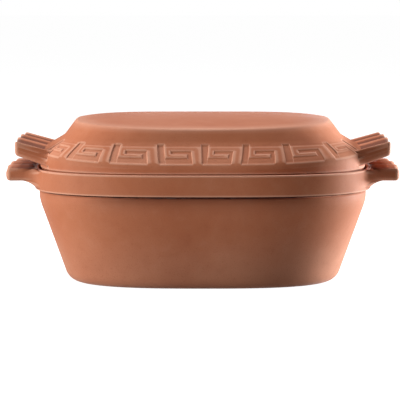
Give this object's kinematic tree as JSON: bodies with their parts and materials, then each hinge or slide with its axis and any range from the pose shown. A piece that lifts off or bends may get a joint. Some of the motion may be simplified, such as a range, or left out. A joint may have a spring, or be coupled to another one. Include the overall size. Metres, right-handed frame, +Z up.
{
  "type": "clay roaster",
  "caption": "Oval roasting dish of unglazed terracotta with a domed lid; both have fluted end lugs, and the lid a sunk Greek key band.",
  "frame": {"origin": "centre of the flat foot, on the surface that the dish stands on", "axes": "+X along the length to the right-hand lugs, +Y from the front to the back, +Z up"},
  "size_m": [0.3518, 0.234, 0.1495],
  "materials": {
    "dish_terracotta": "fired clay, unglazed, matt, fine grained",
    "lid_terracotta": "fired clay, unglazed, matt, fine grained"
  },
  "bodies": {
    "dish": {"dish": "dish_terracotta"},
    "lid": {"lid": "lid_terracotta"}
  },
  "joints": [
    {"name": "lid_lift", "type": "slide", "parent": "dish", "child": "lid", "axis": [0, 0, 1], "range_m": [0, 0.15]}
  ]
}
